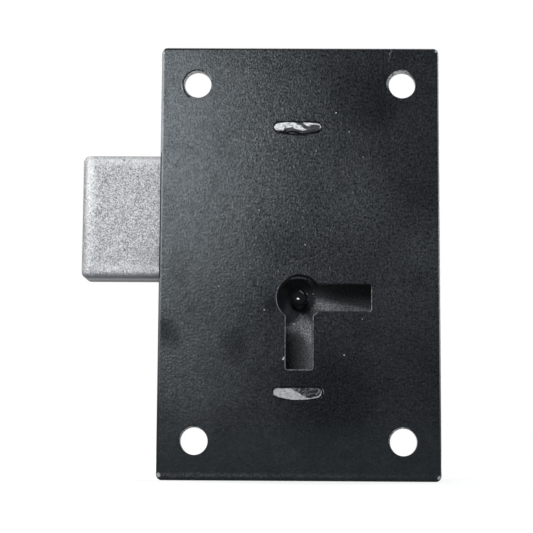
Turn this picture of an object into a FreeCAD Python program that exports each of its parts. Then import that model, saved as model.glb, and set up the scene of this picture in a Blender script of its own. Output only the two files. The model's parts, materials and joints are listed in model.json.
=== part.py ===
# Straight cupboard lock with four levers and a pipe key, bolt thrown to the left
# X runs to the right on the wood side, Y from the wood side into the case, Z up
# The origin is the middle of the four screw holes, on the face that lies on the wood
# Units are millimetres and degrees
import FreeCAD, Part
import math
import os

Vector = FreeCAD.Vector
ORIGIN = Vector(0, 0, 0)
RIGHT = Vector(1, 0, 0)
INTO_CASE = Vector(0, 1, 0)
UP = Vector(0, 0, 1)
TINY = 1e-4
OVERCUT = 1.0

# Plate
PLATE_WIDTH = 49.0
PLATE_HEIGHT = 76.0
PLATE_THICKNESS = 1.6
PLATE_CORNER_RADIUS = 1.0
PLATE_EDGE_ROLL = 0.45
HOLE_EDGE_BREAK = 0.15
SCREW_SPACING_X = 36.0
SCREW_SPACING_Z = 62.6
SCREW_HOLE_DIAMETER = 4.7
SCREW_SINK_DIAMETER = 5.5

# Keyhole and key
KEY_AXIS_Z = -6.4
KEYHOLE_DIAMETER = 7.9
KEY_SLOT_WIDTH = 4.7
KEY_SLOT_REACH = 12.5
KEY_SLOT_CORNER = 0.4
KEY_TIP_CLEARANCE = 0.5
KEY_BIT_THICKNESS = 2.4

# Case, folded from one sheet
CASE_SHEET = 1.6
CASE_BEND_INSIDE = 0.8
CASE_WIDTH = 48.2
CASE_HEIGHT = 48.2
CASE_CENTRE_Z = 0.45
CORNER_SLIT = 0.35
CORNER_RELIEF_DIAMETER = 1.8

# Tenons that hold the case to the plate
TENON_LENGTH = 8.4
TENON_CENTRE_X = -0.3
TENON_FLARE = 0.1
TENON_BELLY = 0.5
TENON_BELLY_RADIUS = 15.0
TENON_HEAD_DEPTH = 0.4
TENON_HEAD_CORNER = 0.6
TENON_CLEARANCE = 0.03

# Bolt
BOLT_HEIGHT = 21.8
BOLT_CENTRE_Z = 8.0
BOLT_PROJECTION = 13.8
BOLT_THROW = 13.6
BOLT_EDGE_ROUND = 1.05
BOLT_HEAD_INSIDE = 1.2
BOLT_FACE_CLEARANCE = 0.2
BOLT_NOTCH_CLEARANCE = 0.15
TAIL_THICKNESS = 2.6
TAIL_TOP_STEP = 1.1
TAIL_CORNER_RADIUS = 1.5
TAIL_END_WEB = 2.0
TAIL_PIVOT_CLEARANCE = 0.35
TALON_WIDTH = 4.0
TALON_ROOT_CLEARANCE = 0.4
TALON_ROOT_FLAT = 0.8
TALON_MOUTH_ROUND = 0.5

# Stump in the tail
STUMP_DIAMETER = 3.0
STUMP_SHANK_DIAMETER = 2.4
STUMP_TALON_WEB = 3.0
STUMP_PIVOT_DISTANCE = 7.0
STUMP_END_CLEARANCE = 0.2

# Guide stud in the case
GUIDE_DIAMETER = 3.0
GUIDE_CLEARANCE = 0.12
GUIDE_TOP_WEB = 1.3

# Lever pivot
PIVOT_DIAMETER = 3.5
PIVOT_SHOULDER_DIAMETER = 4.1
PIVOT_END_CLEARANCE = 0.1

# Drill pin
DRILL_PIN_DIAMETER = 3.0
DRILL_PIN_RECESS = 0.8
DRILL_PIN_TIP_BREAK = 0.5

# Riveted ends of the posts
RIVET_SPIGOT_DIAMETER = 2.4
RIVET_HEAD_DIAMETER = 4.0
RIVET_HEAD_HEIGHT = 0.4
RIVET_CLEARANCE = 0.02

# Levers: how far the key lifts each one to its gate, from the plate to the tail
LEVER_LIFTS = (5.0, 7.5, 6.0, 9.0)
LEVER_FULL_LIFT = 12.0
LEVER_THICKNESS = 1.25
LEVER_GAP = 0.15
LEVER_BOSS_RADIUS = 4.2
LEVER_WALL_CLEARANCE = 0.7
LEVER_BORE_CLEARANCE = 0.05
LEVER_END_WEB = 1.85
LEVER_LEFT_HEIGHT = 6.6
LEVER_NOSE_X = -4.6
LEVER_HEEL_X = 5.2
LEVER_CORNER_RADIUS = 1.2
BELLY_BELOW_TIP = 3.6
BELLY_DROP = 2.1
POCKET_CLEARANCE = 0.25
GATE_CLEARANCE = 0.15

# Lever springs
SPRING_THICKNESS = 0.25
SPRING_WIDTH = 0.9
SPRING_ROOT_FROM_PIVOT = 6.6
SPRING_ROOT_DEPTH = 2.0
SPRING_ROOT_CLEARANCE = 0.03
SPRING_REACH = 15.5
SPRING_TIP_CLEARANCE = 0.05

# Depths, from the wood into the case
lever_pitch = LEVER_THICKNESS + LEVER_GAP
tail_front = PLATE_THICKNESS + len(LEVER_LIFTS) * lever_pitch + LEVER_GAP
bolt_back = tail_front + TAIL_THICKNESS
bolt_front = PLATE_THICKNESS + BOLT_FACE_CLEARANCE
case_floor = bolt_back + BOLT_FACE_CLEARANCE
case_back = case_floor + CASE_SHEET

# Case walls
case_side = CASE_WIDTH / 2 - CASE_SHEET
case_top = CASE_CENTRE_Z + CASE_HEIGHT / 2 - CASE_SHEET
case_bottom = CASE_CENTRE_Z - CASE_HEIGHT / 2 + CASE_SHEET

# The bolt when thrown
bolt_nose = -PLATE_WIDTH / 2 - BOLT_PROJECTION
bolt_head_end = BOLT_HEAD_INSIDE - case_side
bolt_top = BOLT_CENTRE_Z + BOLT_HEIGHT / 2
bolt_bottom = BOLT_CENTRE_Z - BOLT_HEIGHT / 2
tail_top = bolt_top - TAIL_TOP_STEP

# The talon: the key bit's leading corner leaves it just as the throw ends
key_bit_reach = KEY_SLOT_REACH - KEY_TIP_CLEARANCE
bit_corner_reach = math.hypot(key_bit_reach, KEY_BIT_THICKNESS / 2)
talon_x = -BOLT_THROW / 2
talon_exit = (BOLT_THROW + TALON_WIDTH) / 2
tail_bottom = KEY_AXIS_Z + math.sqrt(bit_corner_reach**2 - talon_exit**2)
talon_root = KEY_AXIS_Z + bit_corner_reach + TALON_ROOT_CLEARANCE

# The pivot stands by the right wall, level with the stump, so that the gates are radial
pivot_x = case_side - LEVER_WALL_CLEARANCE - LEVER_BOSS_RADIUS
stump_x = pivot_x - STUMP_PIVOT_DISTANCE - BOLT_THROW
stump_z = talon_root + STUMP_TALON_WEB + STUMP_DIAMETER / 2
pivot_z = stump_z

# The tail ends short of the pivot's shoulder when the bolt is drawn back
guide_half = GUIDE_DIAMETER / 2 + GUIDE_CLEARANCE
tail_end = pivot_x - PIVOT_SHOULDER_DIAMETER / 2 - TAIL_PIVOT_CLEARANCE - BOLT_THROW
guide_x = tail_end - TAIL_END_WEB - guide_half
guide_z = tail_top - GUIDE_TOP_WEB - guide_half

# Dropped levers
pocket_half = STUMP_DIAMETER / 2 + POCKET_CLEARANCE
gate_half = STUMP_DIAMETER / 2 + GATE_CLEARANCE
lever_top = pivot_z + LEVER_BOSS_RADIUS
lever_left = stump_x - pocket_half - LEVER_END_WEB
belly_at_gate = key_bit_reach - BELLY_BELOW_TIP
belly_radius = belly_at_gate + BELLY_DROP
belly_z = KEY_AXIS_Z - BELLY_DROP
lever_bottom = belly_z + belly_at_gate


def at(x, z, y=0.0):
    """Point given by its place on the plate, then its depth."""
    return Vector(x, y, z)


def polar(radius, angle):
    """Step of a length at an angle from +X towards +Z."""
    turn = math.radians(angle)
    return at(radius * math.cos(turn), radius * math.sin(turn))


def block(x0, x1, z0, z1, y0, y1):
    """Box between two corners."""
    return Part.makeBox(x1 - x0, y1 - y0, z1 - z0, at(x0, z0, y0))


def disc(x, z, radius, y0, y1):
    """Cylinder along the depth."""
    return Part.makeCylinder(radius, y1 - y0, at(x, z, y0), INTO_CASE)


def cone(x, z, radius0, radius1, y0, y1):
    """Cone along the depth."""
    return Part.makeCone(radius0, radius1, y1 - y0, at(x, z, y0), INTO_CASE)


def prism(edges, y0, y1):
    """Extrude a closed outline, drawn at depth 0, between two depths."""
    face = Part.Face(Part.Wire(edges))
    face.translate(at(0, 0, y0))
    return face.extrude(INTO_CASE * (y1 - y0))


def rounded_outline(corners):
    """Edges of the closed outline through corners (x, z, radius), rounded by tangent arcs."""
    arcs = []
    for index, (x, z, radius) in enumerate(corners):
        here = at(x, z)
        back = (at(*corners[index - 1][:2]) - here).normalize()
        ahead = (at(*corners[(index + 1) % len(corners)][:2]) - here).normalize()
        half = back.getAngle(ahead) / 2
        setback = radius / math.tan(half)
        middle = (back + ahead).normalize() * (radius / math.sin(half) - radius)
        arcs.append((here + back * setback, here + middle, here + ahead * setback))
    edges = []
    for index, (start, middle, end) in enumerate(arcs):
        following = arcs[(index + 1) % len(arcs)][0]
        if start.distanceToPoint(end) > TINY:
            edges.append(Part.Arc(start, middle, end).toShape())
        if end.distanceToPoint(following) > TINY:
            edges.append(Part.LineSegment(end, following).toShape())
    return edges


def rectangle(x0, x1, z0, z1, radius):
    """Outline of a rectangle with rounded corners."""
    return rounded_outline([(x0, z0, radius), (x1, z0, radius), (x1, z1, radius), (x0, z1, radius)])


def straight_slot(x0, x1, z, half_width, y0, y1):
    """Slot along X whose round ends are centred on x0 and x1."""
    middle = block(x0, x1, z - half_width, z + half_width, y0, y1)
    return middle.fuse([disc(x0, z, half_width, y0, y1), disc(x1, z, half_width, y0, y1)])


def arc_slot(centre, radius, half_width, angle0, angle1, y0, y1):
    """Slot along an arc about a point, with round ends centred on the two angles."""
    half_turn = (angle0 + angle1) / 2
    outer = [centre + polar(radius + half_width, a) for a in (angle0, half_turn, angle1)]
    inner = [centre + polar(radius - half_width, a) for a in (angle1, half_turn, angle0)]
    far_cap = centre + polar(radius, angle1) + polar(half_width, angle1 + 90)
    near_cap = centre + polar(radius, angle0) + polar(half_width, angle0 - 90)
    arcs = [
        Part.Arc(*outer),
        Part.Arc(outer[2], far_cap, inner[0]),
        Part.Arc(*inner),
        Part.Arc(inner[2], near_cap, outer[0]),
    ]
    return prism([arc.toShape() for arc in arcs], y0, y1)


def edges_at_depth(shape, y):
    """Edges that lie wholly at one depth."""
    boxes = [(edge, edge.BoundBox) for edge in shape.Edges]
    return [edge for edge, box in boxes if abs(box.YMin - y) < TINY and abs(box.YMax - y) < TINY]


def tenon_rows():
    """Heights of the middle of the top and bottom walls, where the tenons stand."""
    return (case_top + CASE_SHEET / 2, case_bottom - CASE_SHEET / 2)


def tenon_head(z, ease):
    """Outline of a tenon's upset end: straight on top, bellied below."""
    reach = TENON_LENGTH / 2 + TENON_FLARE - ease
    wide = CASE_SHEET / 2 + TENON_FLARE - ease
    left = TENON_CENTRE_X - reach
    right = TENON_CENTRE_X + reach
    return rounded_outline([
        (left, z - wide, TENON_HEAD_CORNER),
        (TENON_CENTRE_X, z - wide - TENON_BELLY, TENON_BELLY_RADIUS),
        (right, z - wide, TENON_HEAD_CORNER),
        (right, z + wide, TENON_HEAD_CORNER),
        (left, z + wide, TENON_HEAD_CORNER),
    ])


def tenon(z, ease):
    """Tenon in the plate's slot, its end upset into a shallow recess; ease is taken all round."""
    half = CASE_SHEET / 2 - ease
    span = TENON_LENGTH - CASE_SHEET
    left = TENON_CENTRE_X - span / 2
    stem = straight_slot(left, left + span, z, half, TENON_HEAD_DEPTH, PLATE_THICKNESS)
    return stem.fuse(prism(tenon_head(z, ease), 0, TENON_HEAD_DEPTH)).removeSplitter()


def keyhole():
    """Round keyhole with one slot down and one to the right, through the plate."""
    half = KEY_SLOT_WIDTH / 2
    top = KEY_AXIS_Z + half
    down = rectangle(-half, half, KEY_AXIS_Z - KEY_SLOT_REACH, top, KEY_SLOT_CORNER)
    right = rectangle(-half, KEY_SLOT_REACH, KEY_AXIS_Z - half, top, KEY_SLOT_CORNER)
    slots = [prism(outline, 0, PLATE_THICKNESS) for outline in (down, right)]
    return disc(0, KEY_AXIS_Z, KEYHOLE_DIAMETER / 2, 0, PLATE_THICKNESS).fuse(slots).removeSplitter()


def screw_places():
    """Centres of the four screw holes."""
    return [
        (side * SCREW_SPACING_X / 2, end * SCREW_SPACING_Z / 2) for side in (-1, 1) for end in (-1, 1)
    ]


def mounting_plate():
    """Plate with rolled edges on the wood side and screw holes sunk on the case side."""
    half_width = PLATE_WIDTH / 2
    half_height = PLATE_HEIGHT / 2
    outline = rectangle(-half_width, half_width, -half_height, half_height, PLATE_CORNER_RADIUS)
    plate = prism(outline, 0, PLATE_THICKNESS)
    plate = plate.makeFillet(PLATE_EDGE_ROLL, edges_at_depth(plate, 0))
    plate = plate.cut(keyhole())
    front = [face for face in plate.Faces if face.BoundBox.YMax < TINY][0]
    rims = [wire for wire in front.Wires if not wire.isSame(front.OuterWire)]
    plate = plate.makeChamfer(HOLE_EDGE_BREAK, [edge for wire in rims for edge in wire.Edges])
    hole = SCREW_HOLE_DIAMETER / 2
    sink = SCREW_SINK_DIAMETER / 2
    sink_start = PLATE_THICKNESS - (sink - hole)
    sinks = [cone(x, z, hole, sink, sink_start, PLATE_THICKNESS) for x, z in screw_places()]
    holes = [disc(x, z, hole, 0, PLATE_THICKNESS) for x, z in screw_places()]
    return plate.cut(holes + sinks + [tenon(z, 0) for z in tenon_rows()])


def folded_bar(width, length, floor, radius):
    """Bar along Z with the section of a folded sheet's outside or inside: two floor corners round."""
    section = rounded_outline([
        (-width / 2, PLATE_THICKNESS, 0),
        (width / 2, PLATE_THICKNESS, 0),
        (width / 2, floor, radius),
        (-width / 2, floor, radius),
    ])
    face = Part.Face(Part.Wire(section))
    face.rotate(ORIGIN, RIGHT, -90)
    face.translate(UP * (-length / 2))
    return face.extrude(UP * length)


def tray(width, height, floor, radius):
    """Closed block of the case's outline down to a floor, its four floor edges bent."""
    upright = folded_bar(width, height, floor, radius)
    across = folded_bar(height, width, floor, radius)
    across.rotate(ORIGIN, INTO_CASE, 90)
    return upright.common(across).translated(UP * CASE_CENTRE_Z)


def corner_cuts():
    """Slits that leave the four corners of the folded case open, and their relief holes."""
    cuts = []
    for z0, z1 in ((case_top - CORNER_SLIT, case_top), (case_bottom, case_bottom + CORNER_SLIT)):
        relief_start = case_floor - CASE_BEND_INSIDE
        for side in (-1, 1):
            x0, x1 = sorted((side * case_side, side * (CASE_WIDTH / 2 + OVERCUT)))
            cuts.append(block(x0, x1, z0, z1, PLATE_THICKNESS, case_back))
            middle = (z0 + z1) / 2
            cuts.append(disc(side * case_side, middle, CORNER_RELIEF_DIAMETER / 2, relief_start, case_back))
    return cuts


def bolt_notch():
    """Notch in the left wall, through the bend, that the bolt's head slides in."""
    return block(
        -CASE_WIDTH / 2 - OVERCUT,
        CASE_BEND_INSIDE - case_side,
        bolt_bottom - BOLT_NOTCH_CLEARANCE,
        bolt_top + BOLT_NOTCH_CLEARANCE,
        PLATE_THICKNESS,
        case_floor,
    )


def lock_case():
    """Folded case: floor, four bent walls, open corners, bolt notch, rivet holes and tenons."""
    outer = tray(CASE_WIDTH, CASE_HEIGHT, case_back, CASE_BEND_INSIDE + CASE_SHEET)
    inner = tray(2 * case_side, CASE_HEIGHT - 2 * CASE_SHEET, case_floor, CASE_BEND_INSIDE)
    case = outer.cut([inner, bolt_notch()] + corner_cuts())
    hole = RIVET_SPIGOT_DIAMETER / 2 + RIVET_CLEARANCE
    posts = ((0, KEY_AXIS_Z), (guide_x, guide_z), (pivot_x, pivot_z))
    case = case.cut([disc(x, z, hole, case_floor, case_back) for x, z in posts])
    return case.fuse([tenon(z, TENON_CLEARANCE) for z in tenon_rows()])


def rivet_head(x, z):
    """Low dome that a post's spigot is hammered into, on the outside of the case."""
    radius = RIVET_HEAD_DIAMETER / 2
    ball = (radius**2 + RIVET_HEAD_HEIGHT**2) / (2 * RIVET_HEAD_HEIGHT)
    centre = at(x, z, case_back + RIVET_HEAD_HEIGHT - ball)
    return Part.makeSphere(ball, centre).common(disc(x, z, radius, case_back, case_back + ball))


def riveted_post(x, z, stem):
    """Post standing on the case floor: its stem, its spigot through the floor and its head."""
    spigot = disc(x, z, RIVET_SPIGOT_DIAMETER / 2, case_floor, case_back)
    return stem.fuse([spigot, rivet_head(x, z)])


def drill_pin():
    """Pin that the pipe key slides over."""
    stem = disc(0, KEY_AXIS_Z, DRILL_PIN_DIAMETER / 2, DRILL_PIN_RECESS, case_floor)
    stem = stem.makeChamfer(DRILL_PIN_TIP_BREAK, edges_at_depth(stem, DRILL_PIN_RECESS))
    return riveted_post(0, KEY_AXIS_Z, stem)


def bolt_guide_stud():
    """Stud in the tail's slot, level with the tail's front."""
    return riveted_post(guide_x, guide_z, disc(guide_x, guide_z, GUIDE_DIAMETER / 2, tail_front, case_floor))


def lever_pivot():
    """Pivot post with a shoulder that the lever pack rests on."""
    stem = disc(pivot_x, pivot_z, PIVOT_DIAMETER / 2, PLATE_THICKNESS + PIVOT_END_CLEARANCE, case_floor)
    shoulder = disc(pivot_x, pivot_z, PIVOT_SHOULDER_DIAMETER / 2, tail_front, case_floor)
    return riveted_post(pivot_x, pivot_z, stem.fuse(shoulder))


def bolt_head():
    """Thick head of the bolt, rounded on every edge but those of its square end in the case."""
    head = block(bolt_nose, bolt_head_end, bolt_bottom, bolt_top, bolt_front, bolt_back)
    return head.makeFillet(BOLT_EDGE_ROUND, [e for e in head.Edges if e.BoundBox.XMin < bolt_head_end - TINY])


def bolt_tail():
    """Thin tail with the talon that the key's bit works in."""
    root = bolt_head_end - TAIL_THICKNESS
    left = talon_x - TALON_WIDTH / 2
    right = talon_x + TALON_WIDTH / 2
    root_radius = (TALON_WIDTH - TALON_ROOT_FLAT) / 2
    outline = rounded_outline([
        (root, tail_bottom, 0),
        (left, tail_bottom, TALON_MOUTH_ROUND),
        (left, talon_root, root_radius),
        (right, talon_root, root_radius),
        (right, tail_bottom, TALON_MOUTH_ROUND),
        (tail_end, tail_bottom, TAIL_CORNER_RADIUS),
        (tail_end, tail_top, TAIL_CORNER_RADIUS),
        (root, tail_top, 0),
    ])
    return prism(outline, tail_front, bolt_back)


def bolt():
    """Cast bolt: thick head, thin tail with the talon, guide slot and the stump's hole."""
    solid = bolt_head().fuse(bolt_tail())
    slot = straight_slot(guide_x - BOLT_THROW, guide_x, guide_z, guide_half, tail_front, bolt_back)
    shank = STUMP_SHANK_DIAMETER / 2 + RIVET_CLEARANCE
    return solid.cut([slot, disc(stump_x, stump_z, shank, tail_front, bolt_back)])


def bolt_stump():
    """Stump through the lever pack, its shank riveted flush in the tail."""
    front = PLATE_THICKNESS + STUMP_END_CLEARANCE
    stump = disc(stump_x, stump_z, STUMP_DIAMETER / 2, front, tail_front)
    return stump.fuse(disc(stump_x, stump_z, STUMP_SHANK_DIAMETER / 2, tail_front, bolt_back))


def lever_front(index):
    """Front face of a lever, counted from the plate."""
    return PLATE_THICKNESS + LEVER_GAP + index * lever_pitch


def lever_blank(y0, y1):
    """Dropped lever: boss, arm and the belly that the key's bit lifts."""
    blank = prism(
        rounded_outline([
            (lever_left, lever_top, LEVER_CORNER_RADIUS),
            (lever_left, lever_top - LEVER_LEFT_HEIGHT, LEVER_CORNER_RADIUS),
            (LEVER_NOSE_X, lever_bottom, 0),
            (LEVER_HEEL_X, lever_bottom, 0),
            (pivot_x, pivot_z - LEVER_BOSS_RADIUS, 0),
            (pivot_x, lever_top, 0),
        ]),
        y0,
        y1,
    )
    blank = blank.fuse(disc(pivot_x, pivot_z, LEVER_BOSS_RADIUS, y0, y1))
    bore = PIVOT_DIAMETER / 2 + LEVER_BORE_CLEARANCE
    return blank.cut([disc(0, belly_z, belly_radius, y0, y1), disc(pivot_x, pivot_z, bore, y0, y1)])


def pockets(y0, y1):
    """Pockets about the pivot that let a lever rise and fall round the stump at both bolt ends."""
    pivot = at(pivot_x, pivot_z)
    cuts = []
    for x in (stump_x, stump_x + BOLT_THROW):
        reach = at(x, stump_z) - pivot
        angle = math.degrees(math.atan2(reach.z, reach.x))
        end_angle = angle + LEVER_FULL_LIFT
        cuts.append(arc_slot(pivot, reach.Length, pocket_half, angle, end_angle, y0, y1))
    return cuts


def lever(index):
    """Lever held at its gate by the key: cut as it hangs dropped, then turned by its lift."""
    y0 = lever_front(index)
    y1 = y0 + LEVER_THICKNESS
    shape = lever_blank(y0, y1).cut(pockets(y0, y1) + [spring_slit(y0, y1)])
    shape.rotate(at(pivot_x, pivot_z), INTO_CASE, LEVER_LIFTS[index])
    return shape.cut(straight_slot(stump_x, stump_x + BOLT_THROW, stump_z, gate_half, y0, y1))


def spring_neck(lift):
    """Point where a spring leaves the top edge of a lever raised by a lift."""
    pivot = at(pivot_x, pivot_z)
    dropped = at(pivot_x - SPRING_ROOT_FROM_PIVOT, lever_top)
    return pivot + FreeCAD.Rotation(INTO_CASE, lift).multVec(dropped - pivot)


def spring_tip():
    """Middle of a spring's tip, just under the case's top wall."""
    x = pivot_x - SPRING_ROOT_FROM_PIVOT - SPRING_REACH
    return at(x, case_top - SPRING_TIP_CLEARANCE - SPRING_THICKNESS / 2)


def spring_root_angle():
    """Slant of every slit on a dropped lever, so that no bow rises above its own tip."""
    slants = []
    for lift in LEVER_LIFTS:
        chord = spring_tip() - spring_neck(lift)
        slants.append(2 * math.degrees(math.atan2(chord.z, -chord.x)) - lift)
    return min(slants)


def spring_slit(y0, y1):
    """Slanted slit in a dropped lever's top edge that grips the spring's root."""
    half = SPRING_THICKNESS / 2 + SPRING_ROOT_CLEARANCE
    slit = block(-SPRING_ROOT_DEPTH, SPRING_ROOT_DEPTH, -half, half, y0, y1)
    slit.rotate(ORIGIN, INTO_CASE, spring_root_angle())
    return slit.translated(at(pivot_x - SPRING_ROOT_FROM_PIVOT, lever_top))


def lever_spring(index):
    """Leaf spring: root in the lever's slit, then one bow up to the case's top wall."""
    lift = LEVER_LIFTS[index]
    neck = spring_neck(lift)
    tip = spring_tip()
    along = polar(1, 180 - spring_root_angle() - lift)
    foot = neck - along * (SPRING_ROOT_DEPTH - SPRING_ROOT_CLEARANCE)
    chord = tip - neck
    normal = INTO_CASE.cross(along)
    centre = neck + normal * (chord.dot(chord) / (2 * chord.dot(normal)))
    radius = centre.distanceToPoint(neck)
    middle = centre + ((neck + tip) * 0.5 - centre).normalize() * radius
    half = SPRING_THICKNESS / 2
    neck_out, middle_out, tip_out = [(p - centre).normalize() * half for p in (neck, middle, tip)]
    edges = [
        Part.LineSegment(foot + neck_out, neck + neck_out),
        Part.Arc(neck + neck_out, middle + middle_out, tip + tip_out),
        Part.LineSegment(tip + tip_out, tip - tip_out),
        Part.Arc(tip - tip_out, middle - middle_out, neck - neck_out),
        Part.LineSegment(neck - neck_out, foot - neck_out),
        Part.LineSegment(foot - neck_out, foot + neck_out),
    ]
    y0 = lever_front(index) + (LEVER_THICKNESS - SPRING_WIDTH) / 2
    return prism([edge.toShape() for edge in edges], y0, y0 + SPRING_WIDTH)


def save(name, shape):
    """Write one piece and print how large it is."""
    shape.exportStep(os.path.join("parts", name + ".step"))
    box = shape.BoundBox
    print(
        f"{name}: {len(shape.Solids)} solid, volume {shape.Volume:.1f},"
        f" {box.XLength:.1f} x {box.YLength:.1f} x {box.ZLength:.1f}, valid {shape.isValid()}"
    )


os.makedirs("parts", exist_ok=True)
save("mounting_plate", mounting_plate())
save("lock_case", lock_case())
save("drill_pin", drill_pin())
save("bolt_guide_stud", bolt_guide_stud())
save("lever_pivot", lever_pivot())
save("bolt", bolt())
save("bolt_stump", bolt_stump())
for number in range(len(LEVER_LIFTS)):
    save(f"lever_{number + 1}", lever(number))
    save(f"lever_spring_{number + 1}", lever_spring(number))
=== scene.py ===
import json
import math

import bpy
from mathutils import Matrix, Vector


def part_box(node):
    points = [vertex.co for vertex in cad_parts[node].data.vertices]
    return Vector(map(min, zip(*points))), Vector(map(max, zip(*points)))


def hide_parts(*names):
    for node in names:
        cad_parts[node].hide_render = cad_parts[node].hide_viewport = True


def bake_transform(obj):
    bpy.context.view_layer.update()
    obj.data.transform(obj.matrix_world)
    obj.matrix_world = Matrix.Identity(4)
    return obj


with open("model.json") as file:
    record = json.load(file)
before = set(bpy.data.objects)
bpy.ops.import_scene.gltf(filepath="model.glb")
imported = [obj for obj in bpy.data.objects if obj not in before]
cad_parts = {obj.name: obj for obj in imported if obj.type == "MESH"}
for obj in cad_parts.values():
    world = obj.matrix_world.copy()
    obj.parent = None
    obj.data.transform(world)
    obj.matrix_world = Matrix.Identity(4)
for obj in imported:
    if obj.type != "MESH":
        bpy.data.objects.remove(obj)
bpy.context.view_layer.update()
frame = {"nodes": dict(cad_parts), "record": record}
scene = bpy.context.scene
scene.view_settings.view_transform = "Standard"

MM = 0.001
WHITE = (1, 1, 1, 1)
BLACK = (0, 0, 0, 1)

# Counts and places on the lock, in millimetres, as the solids have them
LEVER_COUNT = 4
KEY_AXIS_Z = -6.4
KEY_SLOT_HALF = 2.35
KEY_SLOT_REACH = 12.5
SCREW_SPACING = (36.0, 62.6)
SCREW_HOLE_RADIUS = 2.35
PLATE_HALF_WIDTH = 24.5
PLATE_BACK = 1.6
PIN_REACH = 5.2
TENON_CENTRE_X = -0.3
TOP_TENON_Z = 23.75
BOTTOM_TENON_Z = -22.85
TOP_TENON_ENDS = (-4.6, 3.75)
BOTTOM_TENON_ENDS = (-4.4, 4.1)
TENON_HALF_HEIGHT = 0.9
TENON_BELLY = 0.42
CASE_INSIDE_HALF = 22.5
CASE_CENTRE_Z = 0.45
CASE_FLOOR = 10.15
CASE_BACK = 11.75

# Cut corners of a tenon's outline: how much they take off, and their slope's share of both distances
TENON_CORNER = 0.55
CORNER_SHARE = 0.72
# Window in which the profiles of the tenon ends are drawn, along and across the tenon
PROFILE_REACH = 5.0
PROFILE_HEIGHT = 2.0
# Bare steel on the tenon ends: paint is left round it. Each patch is a pair of profiles, its lower and
# upper limit along the tenon, about the tenon's middle.
TOP_PATCHES = (
    (
        (
            (-4.3, 0.0), (-4.1, -0.45), (-3.8, -0.62), (-2.6, -0.66), (-2.35, -0.1), (-1.9, -0.2),
            (-1.1, -0.05), (-0.5, -0.32), (0.1, -0.5), (0.7, -0.72), (1.2, -0.62), (1.7, -0.35),
        ),
        (
            (-4.3, 0.0), (-3.9, 0.5), (-3.2, 0.72), (-2.0, 0.82), (-1.0, 0.8), (-0.4, 0.72),
            (-0.1, 0.42), (0.5, 0.3), (0.8, 0.0), (1.1, -0.3), (1.4, -0.42), (1.7, -0.33),
        ),
    ),
    (
        (
            (0.75, 0.8), (1.1, 0.42), (1.5, 0.15), (1.9, 0.05), (2.2, 0.28), (2.5, 0.42), (3.3, 0.44),
            (3.8, 0.22), (4.0, -0.1), (3.9, -0.45), (4.25, -0.5),
        ),
        (
            (0.75, 0.82), (1.8, 0.78), (2.6, 0.7), (3.4, 0.62), (3.8, 0.45), (4.1, 0.2), (4.2, -0.1),
            (4.2, -0.35), (4.25, -0.4),
        ),
    ),
)
BOTTOM_PATCHES = (
    (
        (
            (-4.2, -0.1), (-3.9, -0.52), (-3.0, -0.85), (-1.7, -1.2), (-0.8, -1.34), (1.4, -1.36),
            (2.5, -1.15), (3.7, -0.82), (4.1, -0.45), (4.3, 0.4),
        ),
        (
            (-4.2, 0.0), (-4.0, 0.45), (-3.7, 0.68), (-1.0, 0.74), (-0.3, 0.2), (0.7, -0.35),
            (1.5, -0.88), (2.5, -0.92), (3.6, -0.62), (4.0, -0.22), (4.3, 0.6),
        ),
    ),
)
# The tenon ends: middle, left and right end, bare patches, place in the noise, how much wider the crack
# gets below, how strong the curled and the mottled paint are, and how far out the light rim lies
TENONS = (
    (TOP_TENON_Z, TOP_TENON_ENDS, TOP_PATCHES, 3.0, 1.7, 0.3, 0.15, 0.26),
    (BOTTOM_TENON_Z, BOTTOM_TENON_ENDS, BOTTOM_PATCHES, 11.0, 0.9, 0.5, 0.04, 0.14),
)
# Open crack under the upper tenon, along and across the tenon from its middle, and its half widths
TOP_CRACK = (
    (-3.6, -0.70), (-2.6, -0.78), (-2.14, -0.96), (-1.26, -0.85), (-0.38, -0.93), (0.32, -1.22),
    (1.03, -1.31), (1.9, -1.16), (3.13, -0.90), (3.94, -0.54),
)
CRACK_HALF_WIDTHS = (0.14, 0.26)

# Marks on the paint, in millimetres
# Burr left at each screw hole: signs of x and z, its greatest width and how bright it is
BURRS = ((-1, 1, 0.20, 0.5), (1, 1, 0.42, 1.0), (-1, -1, 0.24, 0.55), (1, -1, 0.26, 0.85))
# Worn spots on the plate's corners: place and radius
WORN_CORNERS = ((24.05, 37.5, 0.35), (24.1, -37.3, 0.42), (-24.1, -37.1, 0.5), (-24.15, 37.0, 0.3))
# Bare specks in the plate's paint: place and radius
SPECKS = (
    (7.79, -16.37, 0.16), (10.93, -10.11, 0.10), (-6.07, -8.57, 0.13), (-2.72, -17.1, 0.24),
    (-2.6, -16.85, 0.16), (6.35, 26.3, 0.17), (-7.1, 8.9, 0.14), (1.0, 2.8, 0.14), (-14.0, -4.5, 0.12),
    (2.85, 19.45, 0.12), (8.65, 22.9, 0.12), (11.1, 18.4, 0.11),
)
# Dark chips in the plate's paint: place and radius
CHIPS = (
    (-22.3, 8.0, 0.20), (-13.6, -4.65, 0.16), (-18.9, 1.45, 0.15), (-13.3, 1.85, 0.14), (-0.85, 19.8, 0.2),
)
# Scrapes beside the upper left screw hole: both ends, half width and how bright each is
SCRAPES = ((-20.95, 31.45, -20.75, 30.25, 0.2, 0.55), (-16.38, 33.5, -15.56, 32.2, 0.12, 0.4))
# Specks on the case's floor behind the keyhole: place and radius
INNER_SPECKS = ((-0.85, -10.2, 0.2), (1.45, -4.8, 0.2), (2.6, -4.75, 0.13), (1.6, -5.75, 0.11))

# How the plate's paint shines: roughness, strength, height of its grain in millimetres, and how far
# the grain swings the strength
PLATE_GLOSS = 0.23
PLATE_SPECULAR = 0.19
PLATE_BUMP = 0.025
GRAIN_CONTRAST = 4.318
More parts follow.
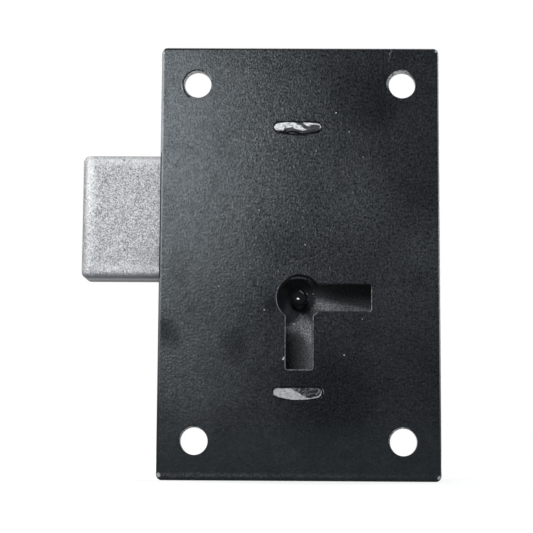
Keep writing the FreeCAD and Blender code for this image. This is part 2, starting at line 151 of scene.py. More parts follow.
# Patches where it shines more or less: place, reach and share
SHEEN_PATCHES = (
    (-18.5, -21.0, 12.0, 0.50), (20.0, -4.0, 12.0, 0.40), (9.5, 13.5, 9.0, 0.28), (12.0, 29.5, 8.6, -0.36),
    (-2.5, 2.5, 6.0, -0.26), (-11.6, -14.6, 4.0, -0.38), (-23.2, -12.6, 3.8, -0.52),
    (5.0, -23.5, 13.0, -0.48), (12.0, 25.0, 5.0, -0.15), (-4.3, -7.5, 3.0, -0.60),
)

# Camera, solved from the plate's outline, holes and keyhole: millimetres, degrees and pixels
CAMERA_PLACE = (-2.3, -261.2, -32.4)
CAMERA_PITCH = 6.85
CAMERA_YAW = 0.75
CAMERA_ROLL = 0.37
FOCAL_PIXELS = 1511.4
IMAGE_PIXELS = 533
SENSOR_WIDTH = 36.0
CLIP_START = 0.01

# World and floor
WORLD_COLOUR = (0.9, 0.95, 1.0, 1)
WORLD_STRENGTH = 0.12
FLOOR_HALF_SIZE = 3.0
FLOOR_GREYS = (0.40, 0.43)
FLOOR_FADE = (60, 260)
FLOOR_GLOW = (0.62, 1.0)

# Lamps: name, place, aim, size in metres, power and colour
PLAIN = (1, 1, 1)
LAMPS = (
    ("key", (-0.080, -0.27, 0.075), (-0.01, 0, 0), 0.13, 0.70, (0.93, 0.97, 1.0)),
    ("left", (-0.30, -0.16, 0.10), (0, 0, 0), 0.10, 0.15, PLAIN),
    ("top", (0.02, 0.02, 0.40), (0, 0, 0), 0.30, 0.6, PLAIN),
    ("right", (0.40, -0.10, 0.05), (0, 0, 0), 0.25, 0.5, PLAIN),
    ("back_left", (-0.25, 0.30, 0.20), (0, 0, 0), 0.25, 0.9, PLAIN),
    ("back_right", (0.28, 0.28, 0.15), (0, 0, 0), 0.25, 0.7, PLAIN),
)


def rgb(red, green, blue):
    return (red, green, blue, 1.0)


class Graph:
    """A node material under construction: calls add nodes, and sockets link by being passed on."""

    def __init__(self, name):
        self.material = bpy.data.materials.new(name)
        self.material.use_nodes = True
        self.tree = self.material.node_tree
        self.tree.nodes.clear()
        self.output = self.tree.nodes.new("ShaderNodeOutputMaterial")
        coordinates = self.tree.nodes.new("ShaderNodeTexCoord")
        scaled = {0: coordinates.outputs["Object"], 1: (1000, 1000, 1000)}
        self.place = self.add("ShaderNodeVectorMath", scaled, operation="MULTIPLY").outputs[0]
        split = self.add("ShaderNodeSeparateXYZ", {0: self.place})
        self.x, self.y, self.z = split.outputs

    def add(self, kind, inputs=None, **settings):
        node = self.tree.nodes.new(kind)
        for key, value in settings.items():
            setattr(node, key, value)
        for key, value in (inputs or {}).items():
            socket = node.inputs[key]
            if isinstance(value, bpy.types.NodeSocket):
                self.tree.links.new(value, socket)
            else:
                socket.default_value = value
        return node

    def math(self, operation, a, b=0.0):
        return self.add("ShaderNodeMath", {0: a, 1: b}, operation=operation).outputs[0]

    def plus(self, a, b):
        return self.math("ADD", a, b)

    def minus(self, a, b):
        return self.math("SUBTRACT", a, b)

    def times(self, a, *others):
        for other in others:
            a = self.math("MULTIPLY", a, other)
        return a

    def either(self, a, *others):
        for other in others:
            a = self.math("MAXIMUM", a, other)
        return a

    def without(self, a, b):
        """Mask a where mask b is off."""
        return self.times(a, self.minus(1.0, b))

    def noise(self, scale, detail=2.0, roughness=0.5, vector=None, distortion=0.0):
        inputs = {
            "Vector": vector or self.place,
            "Scale": scale,
            "Detail": detail,
            "Roughness": roughness,
            "Distortion": distortion,
        }
        return self.add("ShaderNodeTexNoise", inputs).outputs["Fac"]

    def stretched(self, x, y, z, offset=(0, 0, 0), turn=0.0):
        inputs = {"Vector": self.place, "Scale": (x, y, z), "Location": offset, "Rotation": (0, turn, 0)}
        return self.add("ShaderNodeMapping", inputs).outputs[0]

    def ramp(self, value, low, high, to_low=0.0, to_high=1.0):
        """Smooth step from one value to another between two inputs, in either order."""
        inputs = {"Value": value, "From Min": low, "From Max": high, "To Min": to_low, "To Max": to_high}
        return self.add("ShaderNodeMapRange", inputs, interpolation_type="SMOOTHSTEP").outputs[0]

    def mix(self, factor, a, b):
        return self.add("ShaderNodeMix", {0: factor, 6: a, 7: b}, data_type="RGBA").outputs[2]

    def reach(self, x, z):
        """Distance from a point, in the plate's plane."""
        dx = self.minus(self.x, x)
        dz = self.minus(self.z, z)
        return self.math("SQRT", self.plus(self.times(dx, dx), self.times(dz, dz)))

    def stroke(self, x0, z0, x1, z1, width):
        """Mask of a straight scratch between two points of the plate's plane."""
        length = math.hypot(x1 - x0, z1 - z0)
        ux, uz = (x1 - x0) / length, (z1 - z0) / length
        dx = self.minus(self.x, (x0 + x1) / 2)
        dz = self.minus(self.z, (z0 + z1) / 2)
        along = self.math("ABSOLUTE", self.plus(self.times(dx, ux), self.times(dz, uz)))
        across = self.math("ABSOLUTE", self.minus(self.times(dx, uz), self.times(dz, ux)))
        beside = self.ramp(across, width, width * 0.3)
        return self.times(beside, self.ramp(along, length / 2 + 0.1, length / 2 - 0.1))

    def inside_box(self, x0, x1, z0, z1, soft=0.05):
        """Mask of a rectangle in the plate's plane."""
        across = self.times(self.ramp(self.x, x0 - soft, x0 + soft), self.ramp(self.x, x1 + soft, x1 - soft))
        up = self.times(self.ramp(self.z, z0 - soft, z0 + soft), self.ramp(self.z, z1 + soft, z1 - soft))
        return self.times(across, up)

    def specks(self, scale, size, share, offset=(0, 0, 0)):
        """Round specks in a share of the cells of a Voronoi pattern, of a radius in cells."""
        cells = self.add("ShaderNodeTexVoronoi", {"Vector": self.stretched(1, 1, 1, offset), "Scale": scale})
        chosen = self.add("ShaderNodeSeparateColor", {0: cells.outputs["Color"]}).outputs[0]
        near = self.ramp(cells.outputs["Distance"], size, size * 0.4)
        return self.times(near, self.math("LESS_THAN", chosen, share))

    def profile(self, value, points, reach=PROFILE_REACH, height=PROFILE_HEIGHT):
        """Straight pieces through points (value, result), inside plus and minus reach and height."""
        shifted = self.ramp_linear(value, -reach, reach)
        node = self.add("ShaderNodeFloatCurve", {"Value": shifted})
        curve = node.mapping.curves[0]
        placed = [((a + reach) / (2 * reach), (b + height) / (2 * height)) for a, b in points]
        curve.points[0].location = placed[0]
        curve.points[1].location = placed[-1]
        for spot in placed[1:-1]:
            curve.points.new(*spot)
        for point in curve.points:
            point.handle_type = "VECTOR"
        node.mapping.update()
        return self.ramp_linear(node.outputs[0], 0, 1, -height, height)

    def ramp_linear(self, value, low, high, to_low=0.0, to_high=1.0):
        """Straight step from one value to another between two inputs."""
        inputs = {"Value": value, "From Min": low, "From Max": high, "To Min": to_low, "To Max": to_high}
        return self.add("ShaderNodeMapRange", inputs).outputs[0]

    def bump(self, height, distance):
        return self.add("ShaderNodeBump", {"Height": height, "Distance": distance * MM}).outputs[0]

    def dots(self, places):
        """Mask of round spots, each with a place in the plate's plane and a radius."""
        return self.either(*[self.ramp(self.reach(x, z), size, size * 0.4) for x, z, size in places])

    def finish(self, **inputs):
        """Principled shader with these inputs, spaces in their names written as underscores."""
        named = {key.replace("_", " "): value for key, value in inputs.items()}
        shader = self.add("ShaderNodeBsdfPrincipled", named)
        self.tree.links.new(shader.outputs[0], self.output.inputs[0])
        return self.material


def bare_patches(g, centre_z, patches, seed):
    """Mask of a tenon's bare steel, with a ragged edge."""
    ragged = g.minus(g.noise(3.0, 4.0, 0.75, g.stretched(1, 1, 1, (seed, 0, seed))), 0.5)
    u = g.plus(g.minus(g.x, TENON_CENTRE_X), g.times(ragged, 0.9))
    v = g.plus(g.minus(g.z, centre_z), g.times(ragged, 0.5))
    masks = []
    for low, high in patches:
        above = g.ramp(g.minus(v, g.profile(u, low)), -0.04, 0.10)
        below = g.ramp(g.minus(g.profile(u, high), v), -0.04, 0.10)
        ends = g.times(g.ramp(u, low[0][0], low[0][0] + 0.1), g.ramp(u, low[-1][0], low[-1][0] - 0.1))
        masks.append(g.times(above, below, ends))
    return g.either(*masks)


def tenon_outline(g, centre_z, left, right):
    """Signed distance, roughly, from the line that the tenon's end makes in the plate: inside is negative."""
    half = (right - left) / 2
    u = g.math("ABSOLUTE", g.minus(g.x, (left + right) / 2))
    v = g.minus(g.z, centre_z)
    belly = g.ramp_linear(u, 0.8, half, TENON_HALF_HEIGHT + TENON_BELLY, TENON_HALF_HEIGHT)
    over = g.minus(v, TENON_HALF_HEIGHT)
    under = g.minus(g.times(v, -1.0), belly)
    past = g.minus(u, half)
    corner = g.plus(g.plus(past, g.either(over, under)), TENON_CORNER)
    return g.either(past, over, under, g.times(corner, CORNER_SHARE))


def tenon_ends(g):
    """Masks of both ground tenon ends, for the plate and the case alike.

    Gives the bare steel, the black cracks, and the scraps of light paint that the file left.
    """
    bare = []
    cracks = []
    scraps = []
    wander = g.plus(g.times(g.minus(g.noise(1.1, 3.0, 0.7), 0.5), 0.62), -0.02)
    curls = g.noise(0.8, 3.0, 0.7, g.stretched(1.0, 1.0, 1.2, (4.2, 0.0, 1.7)), 0.6)
    curls = g.ramp(g.math("ABSOLUTE", g.minus(curls, 0.5)), 0.045, 0.0)
    broken = g.ramp(g.noise(1.6, 3.0, 0.7, g.stretched(1, 1, 1, (2.0, 0.0, 6.0))), 0.42, 0.58)
    mottled = g.noise(1.7, 3.0, 0.75, g.stretched(0.7, 1.0, 1.3, (8.0, 0.0, 3.0)))
    mottled = g.ramp(mottled, 0.36, 0.62, 0.25, 1.0)
    for centre_z, ends, patches, seed, lowest, curled, thin, outside in TENONS:
        line = tenon_outline(g, centre_z, *ends)
        middle = (ends[0] + ends[1]) / 2
        half = ends[1] - middle
        along = g.math("ABSOLUTE", g.minus(g.x, middle))
        away = g.math("ABSOLUTE", g.plus(line, wander))
        inner = g.ramp(along, half, half - 1.6)
        below = g.ramp(g.minus(g.z, centre_z), 0.0, -0.7, 1.0, lowest)
        below = g.either(g.times(below, g.ramp_linear(inner, 0.0, 1.0, 0.5, 1.0)), 1.0)
        crack = g.ramp(g.math("DIVIDE", away, below), 0.13, 0.05)
        second = g.math("ABSOLUTE", g.plus(g.plus(line, 0.5), g.times(wander, 1.6)))
        second = g.times(g.ramp(second, 0.13, 0.04), g.ramp(g.minus(g.z, centre_z), 0.0, -0.4), 0.7)
        cracks.append(g.either(crack, second))
        bare.append(g.times(bare_patches(g, centre_z, patches, seed), g.ramp(line, 0.02, -0.06)))
        rim = g.ramp(g.math("ABSOLUTE", g.minus(line, outside)), 0.10, 0.03)
        rim = g.times(rim, g.ramp(along, half - 0.5, half), broken, 0.42)
        within = g.ramp(line, -0.05, -0.2)
        scraps.append(g.either(g.times(curls, within, curled), g.times(mottled, within, thin), rim))
    u = g.minus(g.x, TENON_CENTRE_X)
    v = g.plus(g.minus(g.z, TOP_TENON_Z), g.times(wander, 0.3))
    opened = g.math("ABSOLUTE", g.minus(v, g.profile(u, TOP_CRACK)))
    opened = g.ramp(opened, g.ramp(u, -3.0, 0.6, *CRACK_HALF_WIDTHS), 0.06)
    cracks.append(g.times(opened, g.ramp(u, -3.6, -3.2), g.ramp(u, 4.0, 3.6)))
    face = g.ramp(g.y, 0.04, 0.01)
    return g.times(g.either(*bare), face), g.times(g.either(*cracks), face), g.times(g.either(*scraps), face)


def filed_steel_lit_above(g):
    """Tone of filed steel, streaked along the file's stroke, with a painted lighter copy on the upper tenon,
    where the light falls.
    """
    strokes = g.noise(2.4, 4.0, 0.75, g.stretched(0.55, 1, 1.5))
    dull = g.mix(g.ramp(strokes, 0.4, 0.6), rgb(0.26, 0.262, 0.265), rgb(0.46, 0.463, 0.467))
    bright = g.mix(g.ramp(strokes, 0.40, 0.56), rgb(0.28, 0.283, 0.286), rgb(0.74, 0.743, 0.747))
    return g.mix(g.ramp(g.z, -1.0, 1.0), dull, bright)


def painted_end(g, colour):
    """Colour with both tenon ends laid over it, and the masks of crack and bare steel."""
    bare, crack, scraps = tenon_ends(g)
    colour = g.mix(g.times(scraps, 0.85), colour, rgb(0.38, 0.385, 0.39))
    colour = g.mix(crack, colour, BLACK)
    return g.mix(bare, colour, filed_steel_lit_above(g)), crack, bare


def hole_rims(g):
    """Masks round the screw holes: a streaky burr at the upper left of each, and a dark line outside it."""
    burrs = []
    lines = []
    ragged = g.minus(g.noise(1.6, 3.0, 0.65), 0.5)
    streaks = g.noise(2.2, 3.0, 0.7, g.stretched(1.0, 0.2, 1.0, (3.0, 0.0, 8.0)))
    streaks = g.ramp(streaks, 0.38, 0.60, 0.15, 1.0)
    for sx, sz, width, amount in BURRS:
        x, z = sx * SCREW_SPACING[0] / 2, sz * SCREW_SPACING[1] / 2
        away = g.minus(g.reach(x, z), SCREW_HOLE_RADIUS)
        lean = g.plus(g.times(g.minus(g.z, z), 0.8), g.times(g.minus(x, g.x), 0.6))
        lean = g.ramp(lean, 0.0, 2.0)
        limit = g.plus(g.times(lean, width), g.times(ragged, 0.25))
        face = g.times(g.ramp(g.minus(away, limit), 0.06, -0.04), g.ramp(g.y, 0.25, 0.1))
        wall = g.ramp(away, 0.06, 0.03)
        burr = g.times(g.either(face, g.times(wall, 0.7)), g.ramp(away, 0.9, 0.8))
        burrs.append(g.times(burr, lean, streaks, amount))
        band = g.plus(away, g.times(ragged, 0.4))
        line = g.times(g.ramp(band, width, width + 0.08), g.ramp(band, width + 0.26, width + 0.14))
        side = g.ramp(g.plus(g.minus(g.z, z), g.times(g.minus(x, g.x), 2.0)), -0.4, 1.6)
        lines.append(g.times(line, side, g.ramp(g.y, 0.25, 0.1), g.ramp(ragged, -0.16, 0.04, 0.3, 0.95)))
    return g.either(*burrs), g.either(*lines)


def lit_edges_and_worn_corners(g):
    """Masks of the rolled left and right edges and the corners: a painted highlight on the side edges, partly
    wear, brightest high up where the light falls and left off beside the bolt, in its painted shadow; worn
    spots on the corners.
    """
    ragged = g.times(g.minus(g.noise(2.4, 3.0, 0.7, g.stretched(1, 1, 0.35)), 0.5), 0.35)
    inward = g.plus(g.plus(g.x, PLATE_HALF_WIDTH), ragged)
    fading = g.ramp_linear(g.z, -26.0, 20.0, 0.0, 1.0)
    from_side = g.plus(g.x, PLATE_HALF_WIDTH)
    # Painted shadow of the bolt on the left edge: the highlight is left off there.
    beside_bolt = g.times(g.ramp(g.z, 19.4, 18.9), g.ramp(g.z, -3.3, -2.9))
    shaded = g.times(beside_bolt, g.ramp(from_side, 0.36, 0.16))
    left = g.times(g.ramp(inward, 0.62, 0.22), g.ramp(from_side, 0.02, 0.2), fading)
    left = g.times(g.without(left, shaded), g.ramp(g.y, 0.9, 0.5))
    to_right = g.plus(g.minus(PLATE_HALF_WIDTH, g.x), g.times(ragged, 0.5))
    right = g.times(g.ramp(to_right, 0.34, 0.18), g.ramp(g.z, -33.0, -8.0, 0.12, 1.0), g.ramp(g.y, 0.9, 0.5))
    side_highlights = g.either(left, g.times(right, g.ramp(ragged, -0.08, 0.03, 0.55, 0.9)))
    spots = []
    for x, z, size in WORN_CORNERS:
        spots.append(g.ramp(g.plus(g.reach(x, z), g.times(ragged, 1.5)), size, size * 0.5))
    return side_highlights, g.times(g.either(*spots), g.ramp(g.y, 0.6, 0.4))


def scratches(g):
    """Mask of a faint scribble by the upper right screw hole."""
    bent = g.times(g.minus(g.noise(0.9, 2.0), 0.5), 2.6)
    straight = g.plus(g.minus(g.x, 15.9), g.times(g.minus(g.z, 36.0), -0.15))
    line = g.math("ABSOLUTE", g.minus(straight, bent))
    return g.times(g.ramp(line, 0.14, 0.05), g.ramp(g.z, 35.2, 35.4), g.ramp(g.y, 0.05, 0.02))


def keyhole_edge_glint(g):
    """Mask of a painted highlight on the keyhole's front edge, partly wear, along its lower and left edges,
    faint under the slot to the right.
    """
    band = g.times(g.ramp(g.y, 0.005, 0.02), g.ramp(g.y, 0.18, 0.14))
    middle = g.inside_box(-15.0, 15.0, -21.0, -1.0)
    broken = g.ramp(g.noise(2.6, 3.0, 0.75), 0.38, 0.56, 0.2, 1.0)
    slot_top = KEY_AXIS_Z + KEY_SLOT_HALF
    low = g.ramp(g.z, slot_top - 0.1, slot_top - 0.6)
    left = g.ramp(g.x, -1.0, -2.6)
    under_slot = g.times(g.ramp(g.x, 2.9, 3.6), g.ramp(g.x, KEY_SLOT_REACH - 0.1, KEY_SLOT_REACH - 0.6))
    lip = g.times(band, middle, broken, g.either(low, g.times(left, 0.55)))
    return g.without(lip, g.times(under_slot, 0.85))


def plate_sparkle(g):
    """Fine grain of the plate's paint, with a share of slanted strokes."""
    round_grain = g.noise(3.1, 2.0, 0.75, g.stretched(1.0, 1.0, 0.8, (9.0, 0.0, 5.0)))
    slanted = g.stretched(0.45, 1.0, 1.2, (1.0, 0.0, 3.0), math.radians(-48))
    strokes = g.noise(2.1, 2.0, 0.7, slanted)
    return g.plus(g.times(round_grain, 0.65), g.times(strokes, 0.35))


def plate_grain(g, sparkle, loose):
    """Share of the paint's shine: the grain, strongest in the middle, with clouds, patches and chips."""
    undulation = g.noise(0.75, 3.0, 0.7, g.stretched(1, 1, 1, (6.0, 0, 2.0)), 0.6)
    calm = g.ramp(g.z, -14.0, 2.0, 0.92, 0.70)
    contrast = g.times(g.ramp(g.x, -18.0, -3.0, calm, 1.45), g.ramp(g.x, 4.0, 18.0, 1.0, 0.86))
    contrast = g.times(contrast, g.ramp(g.z, -6.0, -20.0, 1.0, 0.75), g.ramp(g.z, -24.0, -31.0, 1.0, 0.5))
    contrast = g.times(contrast, GRAIN_CONTRAST)
    grain = g.either(g.plus(1.0, g.times(g.minus(sparkle, 0.5), contrast)), 0.0)
    grain = g.times(grain, g.ramp_linear(undulation, 0.3, 0.7, 0.81, 1.19))
    for x, z, size, share in SHEEN_PATCHES:
        grain = g.times(grain, g.ramp(g.plus(g.reach(x, z), loose), size, size * 0.2, 1.0, 1.0 + share))
    return g.without(grain, g.times(g.dots(CHIPS), 0.8))


def plate_tone(g, fine, peel, sparkle, loose):
    """Colour of the plate's paint with its haze and dust, painted highlights on the rolled side edges and the
    lower edge, worn corners, the scribble, and a painted highlight on the keyhole's front edge; the side and
    keyhole highlights are partly wear.
    """
    tone = g.mix(g.ramp(fine, 0.42, 0.68), rgb(0.0004, 0.0008, 0.0012), rgb(0.009, 0.0105, 0.012))
    haze = g.either(g.ramp(g.reach(11.5, 9.5), 9.0, 2.0), g.ramp(g.reach(22.0, 3.5), 7.5, 1.5))
    tone = g.mix(g.times(haze, g.ramp(sparkle, 0.36, 0.62), 0.8), tone, rgb(0.020, 0.023, 0.025))
    tone = g.mix(g.ramp(g.plus(g.z, loose), -26.0, -31.0, 0.0, 0.6), tone, rgb(0.0062, 0.0088, 0.0108))
    dust = g.specks(0.8, 0.10, 0.10)
    tone = g.mix(g.times(dust, 0.22), tone, rgb(0.10, 0.105, 0.11))
    # Painted highlight along the plate's lower rolled edge, speckled by the grain, stronger to the left.
    low_edge = g.plus(g.z, g.times(g.minus(peel, 0.5), 0.6))
    foot = g.times(g.ramp(low_edge, -36.5, -37.0), g.ramp(low_edge, -37.5, -37.15))
    foot = g.times(foot, g.ramp(g.x, 24.0, -24.0, 0.2, 1.0))
    tone = g.mix(g.times(foot, g.ramp(sparkle, 0.44, 0.58, 0.2, 1.0)), tone, rgb(0.045, 0.048, 0.050))
    side_highlights, corners = lit_edges_and_worn_corners(g)
    # Painted highlight on the rolled side edges, partly wear.
    tone = g.mix(g.times(side_highlights, 0.95), tone, rgb(0.35, 0.363, 0.376))
    tone = g.mix(g.times(corners, 0.7), tone, rgb(0.40, 0.41, 0.42))
    tone = g.mix(g.times(scratches(g), 0.85), tone, rgb(0.10, 0.105, 0.11))
    # Painted highlight on the keyhole's front edge, partly wear.
    return g.mix(g.times(keyhole_edge_glint(g), 0.9), tone, rgb(0.22, 0.225, 0.23))


def paint_plate():
    """Black paint with a fine grain, clouds of more and less sheen, wear and specks."""
    g = Graph("paint_plate")
    fine = g.noise(2.9, 2.0, 0.6, g.stretched(1.0, 1.0, 0.85))
    peel = g.noise(0.9, 2.0, 0.5)
    cloud = g.noise(0.12, 3.0, 0.6)
    loose = g.times(g.minus(cloud, 0.5), 8.0)
    sparkle = plate_sparkle(g)
    grain = plate_grain(g, sparkle, loose)
    on_face = g.ramp(g.y, 0.1, 0.02)
    burr, ring = hole_rims(g)
    scrapes = [g.times(g.stroke(*ends, width), amount) for *ends, width, amount in SCRAPES]
    burr = g.either(burr, g.times(g.either(*scrapes), on_face))
    tone = plate_tone(g, fine, peel, sparkle, loose)
    tone = g.mix(ring, tone, BLACK)
    tone = g.mix(burr, tone, rgb(0.30, 0.305, 0.31))
    tone = g.mix(g.times(g.dots(SPECKS), on_face), tone, rgb(0.42, 0.43, 0.44))
    tone, crack, bare = painted_end(g, tone)
    grooves = g.either(crack, ring)
    height = g.minus(g.plus(fine, g.times(peel, 0.45)), g.times(grooves, 1.5))
    rough = g.ramp(cloud, 0.3, 0.7, PLATE_GLOSS - 0.02, PLATE_GLOSS + 0.02)
    rough = g.plus(rough, g.times(g.minus(fine, 0.5), 0.10))
    rough = g.either(rough, g.times(grooves, 0.9), g.times(bare, 0.6))
    smudge = g.ramp(g.noise(0.14, 4.0, 0.65, g.stretched(1, 1, 1, (2.0, 0, 7.0))), 0.42, 0.72)
    smudge = g.either(g.times(smudge, 0.6), g.ramp(g.reach(-2.6, -9.0), 11.0, 2.0))
    level = g.times(g.ramp_linear(smudge, 0.0, 1.0, 1.0, 0.68), grain, PLATE_SPECULAR)
    return g.finish(
        Base_Color=tone,
        Roughness=rough,
        Specular_IOR_Level=level,
        Specular_Tint=rgb(0.90, 0.96, 1.0),
        Normal=g.bump(height, PLATE_BUMP),
    )


def painted_shade_behind_keyhole(g):
    """Mask of painted shade on the case's floor behind the keyhole: shadows of the plate's edges and the pin,
    darker towards the slots' far ends and lower edges.
    """
    patchy = g.times(g.minus(g.noise(2.2, 3.0, 0.75), 0.5), 1.3)
    slope = g.plus(g.plus(g.z, g.times(g.x, 0.22)), g.times(patchy, 0.7))
    down = g.plus(g.plus(g.z, g.times(patchy, 0.8)), g.either(g.x, 0.0))
    below_slot = g.ramp(g.plus(g.z, g.times(patchy, 0.4)), -7.4, -7.8, 0.0, 0.5)
    slot_foot = g.times(g.ramp(down, -10.6, -12.6, 0.0, 0.83), g.ramp(g.x, 2.4, 0.6, 0.68, 1.0))
    return g.either(
        g.ramp(g.plus(g.reach(-0.2, -5.2), patchy), 3.9, 2.9),
        g.ramp(g.plus(g.reach(-2.5, -7.4), patchy), 3.8, 2.5),
        g.times(g.ramp(g.x, 1.5, 3.0), g.ramp(slope, -5.7, -4.2, 0.0, 0.93)),
        g.times(slot_foot, g.ramp(g.x, -0.4, -2.0, 1.0, 0.72)),
        g.times(g.ramp(g.reach(-0.2, -14.6), 2.4, 0.3), 0.75),
        g.ramp(g.plus(g.x, patchy), 4.6, 10.0, 0.0, 0.5),
        g.times(g.ramp(g.x, 2.4, 3.0), below_slot),
        g.times(g.ramp(g.x, 2.2, 2.4), g.ramp(g.z, -8.3, -8.8), 0.8),
    )


def case_floor(g):
    """Colour of the bare sheet inside the case, as it shows through the keyhole, with painted shade, painted
    light left of the pin and a painted highlight arc.
    """
    speckle = g.noise(4.2, 2.0, 0.7, g.stretched(1, 1, 1, (5.0, 1.0, 3.0)))
    sheet = g.mix(g.ramp(speckle, 0.40, 0.60), rgb(0.09, 0.094, 0.098), rgb(0.36, 0.367, 0.374))
    pits = g.specks(1.6, 0.30, 0.35, (0.4, 2.7, 1.1))
    sheet = g.mix(g.times(pits, 0.75), sheet, rgb(0.03, 0.032, 0.034))
    # Painted shade behind the keyhole.
    sheet = g.mix(g.times(painted_shade_behind_keyhole(g), 0.94), sheet, rgb(0.014, 0.018, 0.020))
    # Painted light on the floor left of the pin, which lies in shade.
    painted_light_left_of_pin = g.times(g.ramp(g.x, -1.2, -2.6), g.ramp(g.z, -9.2, -7.8), g.ramp(g.z, -3.2, -4.4))
    sheet = g.mix(g.times(painted_light_left_of_pin, 0.9), sheet, rgb(0.12, 0.13, 0.137))
    # Painted highlight: a light arc standing in for the glint on the keyhole's back edge.
    crown = g.plus(g.z, g.times(g.x, g.x, 0.11))
    painted_glint_arc = g.ramp(g.math("ABSOLUTE", g.plus(crown, 1.80)), 0.17, 0.07)
    painted_glint_arc = g.times(painted_glint_arc, g.ramp(g.math("ABSOLUTE", g.x), 1.6, 1.2))
    sheet = g.mix(g.times(painted_glint_arc, 0.9), sheet, rgb(0.62, 0.68, 0.72))
    return g.mix(g.dots(INNER_SPECKS), sheet, rgb(0.75, 0.75, 0.75))


def paint_case():
    """Black paint outside, and bare sheet inside with painted shade behind the keyhole."""
    g = Graph("paint_case")
    peel = g.noise(1.4, 3.0, 0.6)
    grain = g.noise(3.0, 2.0, 0.75)
    paint = g.mix(g.ramp(grain, 0.3, 0.7), rgb(0.002, 0.003, 0.004), rgb(0.016, 0.019, 0.022))
    reach = CASE_INSIDE_HALF + 0.05
    within = g.inside_box(-reach, reach, CASE_CENTRE_Z - reach, CASE_CENTRE_Z + reach, 0.01)
    within = g.times(within, g.ramp(g.y, CASE_FLOOR + 0.1, CASE_FLOOR + 0.05))
    within = g.times(within, g.ramp(g.y, PLATE_BACK, PLATE_BACK + 0.05))
    colour = g.mix(within, paint, case_floor(g))
    colour, crack, bare = painted_end(g, colour)
    rough = g.either(g.ramp(grain, 0.3, 0.7, 0.36, 0.48), g.times(within, 0.7))
    rough = g.either(rough, g.times(crack, 0.9), g.times(bare, 0.6))
    height = g.minus(g.plus(peel, g.times(grain, 0.6)), g.times(crack, 2.0))
    return g.finish(
        Base_Color=colour,
        Roughness=rough,
        Specular_IOR_Level=g.either(g.times(within, 0.08), g.ramp(g.y, 0.04, 0.3, 0.03, 0.25)),
        Normal=g.bump(height, 0.016),
    )


def paint_pin():
    """Black pin whose end carries one painted highlight, a small bright oval."""
    g = Graph("paint_pin")
    peel = g.noise(2.0, 2.0)
    tone = g.mix(peel, rgb(0.002, 0.003, 0.003), rgb(0.008, 0.009, 0.010))
    wide = g.plus(g.minus(g.x, -0.2), g.times(g.minus(g.z, KEY_AXIS_Z - 0.15), 0.4))
    tall = g.times(g.minus(g.z, KEY_AXIS_Z - 0.15), 1.5)
    oval = g.math("SQRT", g.plus(g.times(wide, wide), g.times(tall, tall)))
    # Painted highlight on the pin's end.
    painted_pin_glint = g.times(g.ramp(oval, 0.27, 0.14), g.ramp(g.y, PIN_REACH, PIN_REACH - 0.2))
    tone = g.mix(painted_pin_glint, tone, rgb(0.9, 0.9, 0.9))
    scratch = g.times(g.stroke(0.1, -5.1, 0.75, -5.65, 0.10), g.ramp(g.y, 1.4, 1.2))
    tone = g.mix(g.times(scratch, 0.7), tone, rgb(0.25, 0.255, 0.26))
    return g.finish(
        Base_Color=tone,
        Roughness=g.ramp(peel, 0.3, 0.7, 0.30, 0.45),
        Specular_IOR_Level=0.02,
        Normal=g.bump(peel, 0.02),
    )


